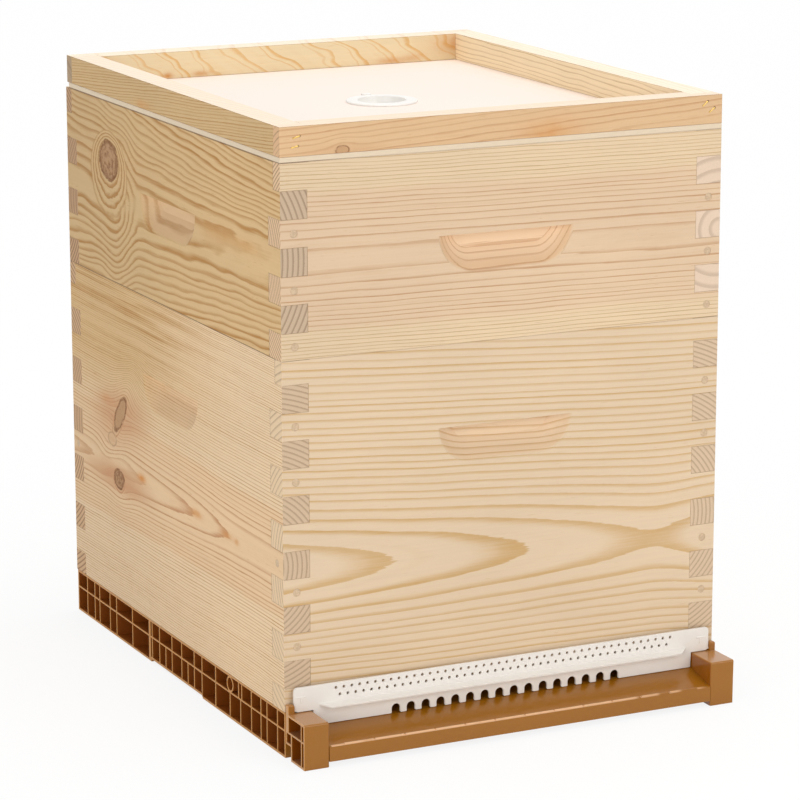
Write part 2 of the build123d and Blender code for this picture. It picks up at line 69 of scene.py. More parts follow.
def srgb(red, green, blue):
    """Colour given in screen steps of 0 to 255, as the linear colour that shaders take."""
    steps = (red / 255, green / 255, blue / 255)
    return tuple(s / 12.92 if s <= 0.04045 else ((s + 0.055) / 1.055) ** 2.4 for s in steps)


def colour_property(name, description, steps):
    """A colour swatch for one of the settings."""
    return FloatVectorProperty(name=name, description=description, subtype="COLOR", size=3, min=0.0, max=1.0,
                               default=srgb(*steps))


def length_property(name, description, default):
    """A length in metres for one of the settings."""
    return FloatProperty(name=name, description=description, unit="LENGTH", min=0.0, default=default)


def power_property(name, description, default):
    """The power of a lamp for one of the settings."""
    return FloatProperty(name=name, description=description, subtype="POWER", default=default)


class TimberSettings(bpy.types.PropertyGroup):
    """Tones of the pine and how its edges are eased."""
    pale_light: colour_property("Pale pine", "Spring growth of pale, even boards", (230, 206, 175))
    pale_dark: colour_property("Pale pine rings", "Summer growth of pale, even boards", (206, 166, 108))
    straw_light: colour_property("Straw pine", "Spring growth near the bark", (237, 212, 177))
    straw_dark: colour_property("Straw pine rings", "Summer growth near the bark", (188, 153, 104))
    rose_light: colour_property("Rose pine", "Spring growth of the heartwood", (233, 205, 172))
    rose_dark: colour_property("Rose pine rings", "Summer growth of the heartwood", (190, 138, 94))
    russet_light: colour_property("Russet pine", "Spring growth near the pith", (226, 197, 162))
    russet_dark: colour_property("Russet pine rings", "Summer growth near the pith", (182, 127, 80))
    honey_light: colour_property("Honey pine", "Spring growth of dark, resinous boards", (216, 185, 140))
    honey_dark: colour_property("Honey pine rings", "Summer growth of dark, resinous boards", (172, 119, 46))
    amber_dark: colour_property("Amber rings", "Resin-rich summer growth", (222, 164, 84))
    resin: colour_property("Resin", "Wood stained by resin", (212, 146, 78))
    end_light: colour_property("End grain", "Sawn ends of the boards", (222, 196, 165))
    end_dark: colour_property("End grain rings", "Summer growth on the sawn ends", (146, 114, 86))
    # Painted light: the upper faces are lightened as if lit from above, along with the paler planed wood
    top_painted_light: colour_property("Planed top", "Fresh pale wood on the upper faces of the rims", (252, 236, 216))
    knot_dark: colour_property("Knot", "Heart of a knot", (143, 99, 62))
    knot_light: colour_property("Knot, pale", "Paler parts of a knot", (184, 146, 108))
    knot_edge: colour_property("Knot edge", "Bark line and rings round a knot", (132, 87, 46))
    knot_halo: colour_property("Knot halo", "Resin-stained wood beside a knot", (198, 144, 102))
    cut_warm: colour_property("Routed wood", "Wood laid open by the router in the handholds", (241, 210, 174))
    cut_rim: colour_property("Routed rim", "Wood along the round rim of the handholds", (224, 187, 147))
    cut_dark: colour_property("Routed rings", "Summer growth in the handholds", (190, 138, 92))
    seam_dark: colour_property("Seam", "Shadow line along the boards' edges", (92, 62, 36))
    # Painted shadow in the holes where the staple legs go in
    staple_pit_shadow: colour_property("Staple pits", "Torn wood where the staples go in", (74, 48, 28))
    peg_light: colour_property("Peg", "End of a corner peg", (213, 186, 153))
    edge_round: length_property("Edge easing", "Radius of the boards' planed edges", 0.00035)


class MouldingSettings(bpy.types.PropertyGroup):
    """Tones of the plastic, wax, wire and metal pieces."""
    floor_brown: colour_property("Floor", "Brown of the floor and landing board", (156, 99, 14))
    # Painted shade deep in the floor's open pockets
    pocket_shade: colour_property("Floor pockets", "Brown deep in the floor's open pockets", (136, 69, 12))
    # Painted highlight on the outer faces of the floor's ribs
    rib_highlight: colour_property("Floor ribs", "Outer edges of the floor's ribs", (226, 164, 87))
    # Painted highlight along the landing's bead, and painted sheen on its end blocks' tops
    landing_highlight: colour_property("Landing bead", "Polished bead along the landing's edge", (232, 184, 138))
    door_white: colour_property("Door", "White of the entrance door", (238, 232, 224))
    plug_white: colour_property("Plug", "White of the feed hole plug", (240, 237, 232))
    panel_white: colour_property("Panel", "Facing of the inner cover's panel", (247, 233, 223))
    panel_edge: colour_property("Panel edge", "Sawn edge of the inner cover's panel", (234, 215, 187))
    panel_gap: colour_property("Panel gap", "Shadow gap under the inner cover's panel", (112, 76, 44))
    wax: colour_property("Wax", "Foundation sheets", (222, 178, 92))
    zinc: colour_property("Zinc", "Frame rests", (176, 180, 184))
    wire: colour_property("Wire", "Staples in the cover's rim", (242, 206, 120))
    edge_round: length_property("Edge radius", "Radius of the mouldings' edges", 0.0003)


class StudioSettings(bpy.types.PropertyGroup):
    """Camera, lamps and floor."""
    camera_place: FloatVectorProperty(name="Camera", description="Where the camera stands", subtype="XYZ",
                                      unit="LENGTH", default=(-1.40116, -2.90287, 1.01106))
    camera_turn: FloatVectorProperty(name="Camera turn", description="How the camera is turned",
                                     subtype="EULER", default=(1.338471, 0.001302, -0.452641))
    lens: FloatProperty(name="Lens", description="Focal length for a 36 mm wide sensor", default=158.943)
    left_power: power_property("Left lamp", "Power of the lamp in front, to the left", 44.0)
    right_power: power_property("Right lamp", "Power of the lamp in front, to the right", 19.0)
    top_power: power_property("Top lamp", "Power of the lamp overhead", 60.0)
    world_light: FloatProperty(name="Room light", description="Even light from all round", default=0.44)
    floor_size: length_property("Floor", "Side of the studio floor", 14.0)
    floor_tone: colour_property("Floor tone", "Colour of the studio floor", (255, 255, 255))


class Field:
    """A shader socket that takes part in sums as a number does."""

    def __init__(self, tree, socket):
        self.tree = tree
        self.socket = socket

    def node(self, kind, inputs, output=0, **settings):
        """Add a node beside this one, set it up, feed its sockets and give back one of its outputs."""
        made = self.tree.nodes.new(kind)
        for key, setting in settings.items():
            setattr(made, key, setting)
        for key, feed in inputs.items():
            if isinstance(feed, Field):
                self.tree.links.new(feed.socket, made.inputs[key])
            elif made.inputs[key].type == "RGBA":
                made.inputs[key].default_value = (*feed, 1.0)
            else:
                made.inputs[key].default_value = feed
        return Field(self.tree, made.outputs[output]) if made.outputs else None

    def also(self, output):
        """Another output of the node that this one comes from."""
        return Field(self.tree, self.socket.node.outputs[output])

    def maths(self, operation, *terms):
        """One Math node, fed with this field and then the other terms."""
        return self.node("ShaderNodeMath", dict(enumerate((self, *terms))), operation=operation)

    def __add__(self, other):
        return self.maths("ADD", other)

    __radd__ = __add__

    def __sub__(self, other):
        return self.maths("SUBTRACT", other)

    def __rsub__(self, other):
        return self.node("ShaderNodeMath", {0: other, 1: self}, operation="SUBTRACT")

    def __mul__(self, other):
        return self.maths("MULTIPLY", other)

    __rmul__ = __mul__

    def __truediv__(self, other):
        return self.maths("DIVIDE", other)

    def __pow__(self, other):
        return self.maths("POWER", other)

    def __abs__(self):
        return self.maths("ABSOLUTE")


def fresh_tree(owner):
    """The emptied node tree of a new material or world."""
    owner.use_nodes = True
    owner.node_tree.nodes.clear()
    return owner.node_tree


def source(tree, kind, output):
    """One output of a node that needs no feeding."""
    return Field(tree, tree.nodes.new(kind).outputs[output])


def step(field, low, high):
    """Soft step of a field from 0 at low to 1 at high, where high may be the lower of the two."""
    return field.node("ShaderNodeMapRange", {"Value": field, "From Min": low, "From Max": high},
                      interpolation_type="SMOOTHSTEP")


def band(field, start, full, fading, end):
    """Soft band of a field: 1 from full to fading, and 0 before start and past end."""
    return step(field, start, full) * step(field, end, fading)


def blend(factor, first, second):
    """Two colours blended by a field."""
    return factor.node("ShaderNodeMix", {0: factor, 6: first, 7: second}, 2, data_type="RGBA", blend_type="MIX",
                       clamp_factor=True)


def shade(colour, field):
    """A colour darkened or lightened by a field about 1."""
    return field.node("ShaderNodeMix", {0: 1.0, 6: colour, 7: field}, 2, data_type="RGBA", blend_type="MULTIPLY")


def point(first, second, third):
    """Three fields as a place to look a texture up at."""
    return first.node("ShaderNodeCombineXYZ", {0: first, 1: second, 2: third})


def noise(place, detail=2.0, rough=0.5, output="Fac"):
    """Noise with one cell to the unit."""
    return place.node("ShaderNodeTexNoise", {"Vector": place, "Scale": 1.0, "Detail": detail, "Roughness": rough},
                      output)


def fresh_finish(name):
    """An empty material, the three coordinates of each point on the hive in millimetres, and the way it faces."""
    material = bpy.data.materials.new(name)
    place = source(fresh_tree(material), "ShaderNodeTexCoord", "Object")
    split = place.node("ShaderNodeSeparateXYZ", {0: place})
    return material, [split.also(axis) / MM for axis in "XYZ"], place.also("Normal")


def surface(material, colour, roughness, height, relief, **constants):
    """Close a material with its shader; relief is the depth of the bumps in metres."""
    bumps = colour.node("ShaderNodeBump", {"Strength": 1.0, "Distance": relief, "Height": height})
    shader = colour.node("ShaderNodeBsdfPrincipled",
                         {"Base Color": colour, "Roughness": roughness, **constants, "Normal": bumps})
    colour.node("ShaderNodeOutputMaterial", {"Surface": shader})
    return material


def tinted(colour, tint):
    """A setting's colour times a board's own tint."""
    return tuple(min(1.0, part * share) for part, share in zip(colour, tint))


# How each board was sawn from its log, in millimetres.
#
# The log. The pith runs at the level "centre" and "depth" outside the board's outer face. "slope" and "swells" (place,
# half width, lift) change its level; "lean", "crest" (place past which the lean turns back, and by which share) and
# "terraces" (start, end, rise) change its depth. "shears" (level where one starts, level where it is full, slope, place
# that stays put) slant the lines.
#
# The rings. One ends at the radius "first", the next a "spacing" further out, and they narrow by "tighten". "late" is
# where in a ring the summer growth starts and is full, "drop" where it fades, "pair" the place and strength of a second
# line, "dark" how dark it gets and "flat" how much of it shows where rings graze the face. Lines stray by "wander",
# rings roll by "ripple" and fibres run past a ring's edge by "comb". "sawn" is the pith's depth and level, the spacing
# and the strength of the rings on the sawn ends, and "ends" is the tint of those ends.
#
# The tones. A tone is a spring tone and, after a stroke, another one's summer tone. The first of "tones" is for wood
# outside the radius "heart", the second for wood inside, and "upper" (start, full, tone) for wood above a level, with
# streaks as strong as "bands". "tint" shifts them all, "light_falloff" (start, end, first share, last share) is painted
# light that shades the board along its length, "top" is how much the upper face is lightened by painted light and the
# paler planed wood, "seam" how dark the long edges are and "cut" how much the wood in the handhold differs.
#
# The marks. A knot is its place, level, half length and half height, how far the rings part for it, how much it shows,
# how many rings hug it, how dark its heart is and, if it leans, how far; "halo" is how far its resin stains the wood.
# A stain is its place, level, half length, half height and strength, a pit at a staple, where shadow is painted, its
# place and level. "seed" sets the board's own chance.
GRAIN = {
    "super_front_board": dict(
        centre=434.0, slope=-0.016, depth=57.0, spacing=2.75, first=55.3, late=(0.68, 0.95), wander=1.5,
        flat=0.3, seam=0.15, sawn=(57.0, 436.0, 3.4, 0.75), ends=(1.06, 0.99, 0.90), heart=82.5,
        tones=("straw", "rose"), light_falloff=(-200.0, 40.0, 0.955, 1.0), tint=(0.925, 0.91, 0.895), dark=0.78, seed=3.1),
    "super_back_board": dict(
        centre=470.0, slope=0.03, depth=75.0, lean=0.03, spacing=3.6, first=75.0, late=(0.66, 0.94), wander=2.4,
        sawn=(60.0, 425.0, 4.4, 0.8), ends=(0.73, 0.61, 0.505), heart=88.0, tones=("straw", "rose"), dark=0.8,
        seed=12.4, knots=((90.0, 398.0, 10.0, 9.0, 0.8, 1.0, 2.0, 0.8),)),
    "super_left_board": dict(
        centre=436.0, slope=0.004, swells=((152.0, 30.0, -9.0),), depth=47.6, lean=-0.019,
        shears=((448.0, 500.0, 0.085, 105.0), (415.0, 370.0, -0.05, 75.0)),
        terraces=((88.0, 150.0, -21.5),), spacing=5.8, first=51.2, late=(0.34, 0.82), drop=0.84, wander=3.4,
        flat=0.3, ripple=6.0, seam=0.9, sawn=(100.0, 440.0, 4.9, 0.55), ends=(0.79, 0.785, 0.79),
        tones=("honey", "honey"), light_falloff=(240.0, -180.0, 0.94, 1.075), tint=(0.985, 0.97, 0.92), dark=0.86, halo=0.15,
        seed=7.3, cut=0.45, knots=((163.0, 467.0, 22.0, 17.0, 0.62, 1.0, 4.2, 0.75),),
        stains=((-95.0, 442.0, 40.0, 9.0, 0.22), (-160.0, 441.0, 30.0, 6.0, 0.3))),
    "super_right_board": dict(
        centre=433.0, slope=-0.04, depth=-4.0, lean=0.01, spacing=5.6, first=2.0, late=(0.6, 0.93), wander=3.2,
        heart=36.0, tones=("pale", "rose"), dark=0.85, seed=21.7, sawn=(-1.0, 433.0, 11.0, 0.32),
        ends=(1.06, 1.09, 1.20), knots=((-120.0, 470.0, 12.0, 12.0, 0.7, 1.0, 2.0, 0.8),)),
    "brood_front_board": dict(
        centre=160.6, slope=-0.045, depth=74.1, lean=0.0356, crest=(154.0, 1.6), spacing=4.7, first=75.0,
        tighten=-0.005, late=(0.54, 0.94), wander=1.3, comb=0.15, ends=(1.10, 1.10, 1.04), seam=0.2,
        tones=("pale", "pale"), tint=(0.945, 0.935, 0.92), dark=0.86, cut=0.4, seed=5.6),
    "brood_back_board": dict(
        centre=215.0, slope=0.05, depth=80.0, lean=-0.04, crest=(-120.0, 1.4), spacing=5.2, first=80.0,
        late=(0.64, 0.93), wander=2.2, sawn=(70.0, 205.0, 4.6, 0.8), ends=(0.84, 0.73, 0.61), heart=90.0,
        tones=("pale", "rose"), dark=0.85, seed=31.9, knots=((-70.0, 120.0, 9.0, 9.0, 0.8, 1.0, 2.0, 0.8),)),
    "brood_left_board": dict(
        centre=172.0, slope=0.0, depth=32.2, lean=-0.025, crest=(-122.0, 0.0), terraces=((-40.0, -120.0, 1.6),),
        spacing=3.2, first=30.0, tighten=0.007, late=(0.58, 0.96), wander=1.6, sawn=(34.0, 172.0, 4.4, 0.45),
        ends=(0.87, 0.85, 0.84), heart=60.0, tones=("pale/honey", "russet"), upper=(200.0, 290.0, "honey"), bands=2.8,
        light_falloff=(180.0, -120.0, 1.0, 1.095), tint=(0.99, 0.965, 0.905), dark=0.9, cut=0.35, halo=1.5, seam=0.9, seed=9.2,
        knots=((146.0, 226.0, 10.5, 17.0, 0.85, 0.9, 1.6, 0.35, 0.65), (152.0, 161.0, 12.0, 9.0, 0.8, 1.0, 1.6, 0.85),
               (168.0, 197.0, 10.0, 6.5, 0.6, 0.18, 1.0, 0.0)),
        stains=((93.0, 175.5, 10.0, 4.0, 1.0), (-39.0, 173.0, 11.0, 3.5, 1.1), (-108.0, 170.5, 14.0, 3.5, 0.75),
                (-131.0, 169.5, 5.0, 3.0, 0.6), (177.0, 234.0, 16.0, 5.0, 0.5))),
    "brood_right_board": dict(
        centre=172.0, slope=0.02, depth=-70.0, lean=0.02, spacing=3.8, first=70.0, late=(0.62, 0.95), wander=2.0,
        sawn=(-75.0, 172.0, 4.2, 0.42), ends=(0.93, 0.92, 0.915), heart=62.0, tones=("pale/honey", "rose"),
        dark=0.8, seed=17.5, knots=((60.0, 130.0, 9.0, 9.0, 0.8, 1.0, 2.0, 0.8),)),
    "cover_front_rim": dict(
        centre=508.0, slope=0.06, depth=24.0, spacing=4.6, first=24.0, late=(0.62, 0.95), wander=2.6,
        ends=(1.0, 0.86, 0.71), heart=400.0, tones=("rose", "rose"), tint=(0.90, 0.80, 0.67), dark=0.5, seed=41.3,
        top=0.75, knots=((-157.0, 530.5, 6.0, 4.0, 0.9, 0.4, 1.6, 0.6),), stains=((42.0, 531.0, 26.0, 11.0, 0.6),),
        pits=((-196.4, 545.3), (-197.8, 536.9), (200.2, 548.6), (207.2, 542.3))),
    "cover_back_rim": dict(
        centre=250.0, slope=-0.75, depth=30.0, spacing=27.0, first=30.0, late=(0.80, 0.93), wander=5.0,
        pair=(0.68, 0.6), ripple=26.0, ends=(0.62, 0.59, 0.55), tones=("straw/amber", "straw"),
        tint=(0.985, 1.04, 1.005), dark=0.75, seed=44.8, top=0.8,
        stains=((-121.0, 531.0, 5.0, 3.0, 0.9), (-86.0, 531.0, 9.0, 3.0, 0.6), (118.0, 531.0, 16.0, 3.5, 0.7),
                (143.0, 533.0, 10.0, 4.0, 0.5), (192.0, 546.0, 26.0, 12.0, 0.6))),
    "cover_left_rim": dict(
        centre=440.0, slope=-0.085, depth=30.0, spacing=2.6, first=30.0, late=(0.5, 0.95), wander=1.6,
        tones=("honey", "honey"), tint=(0.96, 0.95, 0.90), dark=0.8, seed=47.1, top=0.85,
        stains=((74.0, 531.5, 15.0, 4.0, 0.6),)),
    "cover_right_rim": dict(
        centre=610.0, slope=0.02, depth=26.0, spacing=3.6, first=26.0, late=(0.6, 0.94), wander=2.8,
        ripple=3.0, tones=("straw", "straw"), tint=(1.16, 1.22, 1.24), dark=0.8, seed=52.6, top=0.8),
}


def tone_pair(settings, tone, tint):
    """Spring and summer colour of a tone such as pale or pale/honey."""
    spring, _, summer = tone.partition("/")
    return (tinted(getattr(settings, f"{spring}_light"), tint),
            tinted(getattr(settings, f"{summer or spring}_dark"), tint))


def pith(grain, length):
    """How deep the pith lies and how high, at each place along a board."""
    lean, depth = grain.get("lean", 0.0), grain["depth"]
    offset = length * lean + depth
    if "crest" in grain:
        place, share = grain["crest"]
        fall = (length - place) * (-share * lean) + (depth + lean * place)
        offset = offset.maths("SMOOTH_MIN", fall, 3.0)
    for start, end, rise in grain.get("terraces", ()):
        offset = offset + step(length, start, end) * rise
    middle = length * grain["slope"] + grain["centre"]
    for place, half, lift in grain.get("swells", ()):
        away = (length - place) / half
        away = away * away * -1.0
        middle = middle + away.maths("EXPONENT") * lift
    return offset, middle


# Reach of the handholds and of the corner fingers on the boards' faces, in millimetres
GRIP_DROP = 90.0  # middle of a handhold, below the box's upper edge
GRIP_DEPTH = 13.5
GRIP_HALF_LENGTH = 68.0
GRIP_HALF_HEIGHT = 18.5
FINGER_REACH = 27.0


def timber(name, settings, along, face, inward, grain, span=None, run=None, grip=None):
    """Pine with growth rings round a pith, knots that the rings part for, fibre, and sawn ends.

    The board runs "along" an axis, its outer "face" lies across it and the wood goes "inward" from there. "span" is its
    height, "run" its length between the corner joints and "grip" the middle of its handhold, where it has them."""
    material, (x, y, level), normal = fresh_finish(name)
    length, thick = (x, y) if along == "X" else (y, x)
    seed, spacing, wander = grain["seed"], grain["spacing"], grain["wander"]
    slow = noise(point(length * 0.006, level * 0.013, thick * 0.013 + seed), 2.0, 0.5, "Color")
    sway = slow.node("ShaderNodeSeparateColor", {0: slow})
    fibre = noise(point(length * 0.011 + seed, level * 0.5, thick * 0.5), 3.0, 0.6)
    streak = noise(point(length * 0.035, level * 1.7 + seed, thick * 1.7), 3.0, 0.65)
    blotch = noise(point(length * 0.05, level * 0.09, thick * 0.09 + seed), 3.0, 0.65)

    # The level of each point, bent where knots part the rings
    bent, knots = level + (sway - 0.5) * (4.0 * wander), []
    for low, high, slope, pivot in grain.get("shears", ()):
        bent = bent + (pivot - length) * slope * step(level, low, high)
    for k_length, k_level, half_length, half_level, push, core, hugging, heart, *tilt in grain.get("knots", ()):
        rise = level - k_level
        u, v = (length + rise * (tilt[0] if tilt else 0.0) - k_length) / half_length, rise / half_level
        near = u * u + v * v
        spread = near * -0.17
        bent = bent - (bent - k_level) * spread.maths("EXPONENT") * push
        reach = near ** 0.5
        hoops = (reach - 1.0) * (v / reach * 1.9 + 3.7) + (blotch - 0.5) * 0.9
        reach = reach + (fibre - 0.5) * 0.2 + (blotch - 0.5) * 0.5
        knots.append((reach, ((u * u) * 0.05 + v * v) ** 0.5, hoops, hugging, core, heart))

    # Growth rings round the pith, and how ripe the wood is in them
    depth = (thick - face) * inward
    offset, middle = pith(grain, length)
    into = offset + depth + (sway.also("Green") - 0.5) * (0.6 * wander)
    across = bent - middle
    radius = (across * across + into * into) ** 0.5
    wobble = (fibre - 0.5) * min(grain.get("comb", 0.3) * spacing, 1.6)
    if "ripple" in grain:
        roll = noise(point(length * 0.018, level * 0.05, thick * 0.02 + seed), 1.0)
        wobble = wobble + (roll - 0.5) * grain["ripple"]
    rings = (radius + wobble - grain["first"]) / spacing
    rings = rings + rings * abs(rings) * grain.get("tighten", 0.0)
    uneven = noise(point(rings * 0.33 + seed, 0.0, 0.0), 1.0)
    rings = rings + (uneven - 0.5) * step(abs(rings), 1.0, 3.0)
    within = rings.maths("FRACT")
    count = rings.maths("FLOOR")
    strong = count.node("ShaderNodeTexWhiteNoise", {"W": count + seed}, "Value", noise_dimensions="1D")
    late = band(within, *grain["late"], grain.get("drop", 0.965), 1.0)
    if "pair" in grain:
        place, share = grain["pair"]
        late = late.maths("MAXIMUM", step(abs(within - place), 0.05, 0.015) * share)
    late = late * (strong * 0.45 + 0.55) * (fibre * 0.8 + 0.6)
    opened = late
    if "flat" in grain:
        late = late * (step(abs(across / into), 0.05, 0.28) * (1.0 - grain["flat"]) + grain["flat"])
    for _, _, hoops, hugging, core, _ in knots:
        hug = band(hoops.maths("FRACT"), 0.35, 0.85, 0.93, 1.0)
        late = late + (hug * core - late) * step(hoops, hugging, hugging - 0.8)
    fine = noise(point(radius * (3.1 / spacing), length * 0.003, level * 0.003 + seed), 2.0, 0.6)
    ripeness = late * grain["dark"] + (fine - 0.5) * 0.42 + (streak - 0.5) * 0.30 + (blotch - 0.5) * 0.16

    # Tones, and the marks on the face
    tint = grain.get("tint", (1.0, 1.0, 1.0))
    sap, core_wood = (tone_pair(settings, tone, tint) for tone in grain["tones"])
    heart_reach = grain.get("heart", 0.0)
    inner = step(radius + (blotch - 0.5) * 8.0, heart_reach + 3.0, heart_reach - 4.0)
    light, dark = blend(inner, sap[0], core_wood[0]), blend(inner, sap[1], core_wood[1])
    if "upper" in grain:
        low, high, tone = grain["upper"]
        raised = step(level, low, high) * step(length, -170.0, 150.0)
        upper_light, upper_dark = tone_pair(settings, tone, tint)
        light, dark = blend(raised, light, upper_light), blend(raised, dark, upper_dark)
        bands = noise(point(length * 0.004 + seed, level * 0.17, thick * 0.17), 2.0, 0.55)
        ripeness = ripeness + (bands - 0.5) * step(level, high - 25.0, high + 35.0) * raised * grain["bands"]
    colour = blend(ripeness, light, dark)
    colour = shade(colour, fibre * 0.10 + sway.also("Blue") * 0.14 + 0.88)
    # Painted light: the board is shaded along its length as the light falls off
    if "light_falloff" in grain:
        start, end, first, last = grain["light_falloff"]
        colour = shade(colour, step(length, start, end) * (last - first) + first)
    flecks = noise(point(length * 0.07 + seed, level * 1.1, thick * 1.1), 1.0)
    colour = blend(step(flecks, 0.70, 0.78) * 0.35, colour, dark)
    if grip:
        routed = band(depth, 0.3, 1.5, GRIP_DEPTH - 1.0, GRIP_DEPTH)
        routed = routed * step(abs(length - grip[0]), GRIP_HALF_LENGTH, GRIP_HALF_LENGTH - 1.5)
        routed = routed * step(abs(level - grip[1]), GRIP_HALF_HEIGHT, GRIP_HALF_HEIGHT - 1.5)
        laid_open = blend(step(depth, 2.0, 9.0), settings.cut_rim, settings.cut_warm)
        laid_open = blend(opened * 0.7 + (fine - 0.5) * 0.4, laid_open, settings.cut_dark)
        colour = blend(routed * grain.get("cut", 0.85), colour, laid_open)
    for s_length, s_level, half_length, half_level, share in grain.get("stains", ()):
        u, v = (length - s_length) / half_length, (level - s_level) / half_level
        spread = (u * u + v * v) * -1.0
        colour = blend(spread.maths("EXPONENT") * (blotch * 1.4 + 0.2) * share, colour, settings.resin)
    speck = noise(point(length * 0.17, level * 0.17, thick * 0.17 + seed), 3.0, 0.7)
    for reach, along_grain, _, _, core, heart in knots:
        colour = blend(step(along_grain, 2.1, 0.4) * (fine * 0.5 + 0.25) * (core * grain.get("halo", 1.0)), colour,
                       settings.knot_halo)
        hoop = (reach * 17.0 + speck * 9.0).maths("SINE") * 0.06
        fill = blend(step(speck + hoop + (1.0 - heart) * 0.4, 0.4, 0.72),
                     *(tinted(tone, tint) for tone in (settings.knot_dark, settings.knot_light)))
        colour = blend(step(reach, 1.1, 0.9) * core, colour, fill)
        bark = band(reach, 0.82, 0.96, 1.06, 1.2) * step(speck, 0.2, 0.6) * core ** 0.5
        colour = blend(bark, colour, tinted(settings.knot_edge, tint))
    # Painted shadow in the holes where the staple legs go in
    for p_length, p_level in grain.get("pits", ()):
        u, v = length - p_length, level - p_level
        away = (u * u + v * v) ** 0.5 + (blotch - 0.5) * 0.8
        colour = blend(step(away, 1.3, 0.6) * step(depth, 1.5, 0.8) * 0.85, colour, settings.staple_pit_shadow)

    # Upper face, sawn ends, long edges and finger joints
    turned = normal.node("ShaderNodeSeparateXYZ", {0: normal}, along)
    upright = turned.also("Z")
    # Painted light on the upper faces, as if lit from above, along with the paler planed wood
    if "top" in grain:
        colour = blend(step(upright, 0.7, 0.95) * grain["top"], colour,
                       shade(settings.top_painted_light, late * -0.12 + fibre * 0.06 + 0.97))
    sawn = step(abs(turned), 0.6, 0.85)
    pores = noise(point(length * 0.2, level * 2.2, thick * 2.2), 2.0, 0.7)
    end_rings, end_share = late, 0.6
    if "sawn" in grain:
        end_depth, end_level, end_spacing, end_share = grain["sawn"]
        out = (((level - end_level) ** 2.0 + (depth + end_depth) ** 2.0) ** 0.5 + (pores - 0.5) * 1.2) / end_spacing
        end_rings = band(out.maths("FRACT"), 0.5, 0.82, 0.93, 1.0)
    ends = blend(end_rings * end_share, *(tinted(tone, grain.get("ends", tint))
                                          for tone in (settings.end_light, settings.end_dark)))
    colour = blend(sawn, colour, shade(ends, pores * 0.30 + 0.85))
    if span:
        rim = abs(level - sum(span) / 2)
        seam = step(rim, (span[1] - span[0]) / 2 - 0.75, (span[1] - span[0]) / 2 - 0.1)
        colour = blend(seam * step(abs(upright), 0.9, 0.6) * grain.get("seam", 0.45), colour, settings.seam_dark)
    if run:
        eased = x.node("ShaderNodeAttribute", {}, "Fac", attribute_name="eased")
        inset = (run[1] - run[0]) / 2 - abs(length - sum(run) / 2)
        joint = eased * band(inset, 0.5, 0.9, FINGER_REACH - 1.0, FINGER_REACH)
        colour = blend(joint * 0.34, colour, settings.seam_dark)
    roughness = late * -0.10 + streak * 0.12 + 0.58
    height = late * 0.35 + streak * 0.45 + fibre * 0.2
    return surface(material, colour, roughness, height, relief=0.00014,
                   **{"IOR": 1.45, "Specular IOR Level": 0.25})


def board_timber(node, settings):
    """The pine of one board or rim, sawn from its own log."""
    side = node.split("_")[1]
    along, inward = {"front": ("X", 1), "back": ("X", -1), "left": ("Y", 1), "right": ("Y", -1)}[side]
    low, high = box_mm(node)
    face = (low if inward > 0 else high)[1 if along == "X" else 0]
    run = grip = None
    if node.endswith("board"):
        run = [corner[0 if along == "X" else 1] for corner in (low, high)]
        grip = (sum(run) / 2, high[2] - GRIP_DROP)
    return timber(f"{node}_pine", settings, along, face, inward, GRAIN[node], (low[2], high[2]), run, grip)


def bar_timber(name, settings, along):
    """Plain straight-grained pine for the small sticks of the frames."""
    return timber(name, settings, along, 0.0, 1.0, dict(
        centre=-60.0, slope=0.015, depth=38.0, lean=0.01, spacing=3.3, first=38.0, late=(0.55, 0.94), wander=3.0,
        tones=("straw", "straw"), dark=0.6, seed=63.0))


POCKET_REACH = 24.5  # depth of the floor's open pockets from its outer faces, in millimetres
POCKETS_HALF = 189.5  # half the width of the row of pockets at the back


def in_pockets(x, y, z, low, high, at_back):
    """How deep a point lies in the pockets of a floor moulding, whose outer faces are given."""
    side, back = low[0] * -1.0 - abs(x), high[1] - y
    walls = band(z, low[2] + 0.4, low[2] + 1.2, high[2] - 1.3, high[2] - 0.5)
    beside = band(side, 0.2, 1.0, POCKET_REACH - 1.0, POCKET_REACH) * step(y, low[1] + 0.4, low[1] + 1.2)
    if at_back:
        behind = band(back, 0.2, 1.0, POCKET_REACH - 1.0, POCKET_REACH)
        behind = behind * step(abs(x), POCKETS_HALF, POCKETS_HALF - 1.0)
        beside = (beside * step(back, 0.4, 1.2)).maths("MAXIMUM", behind)
    return beside * walls


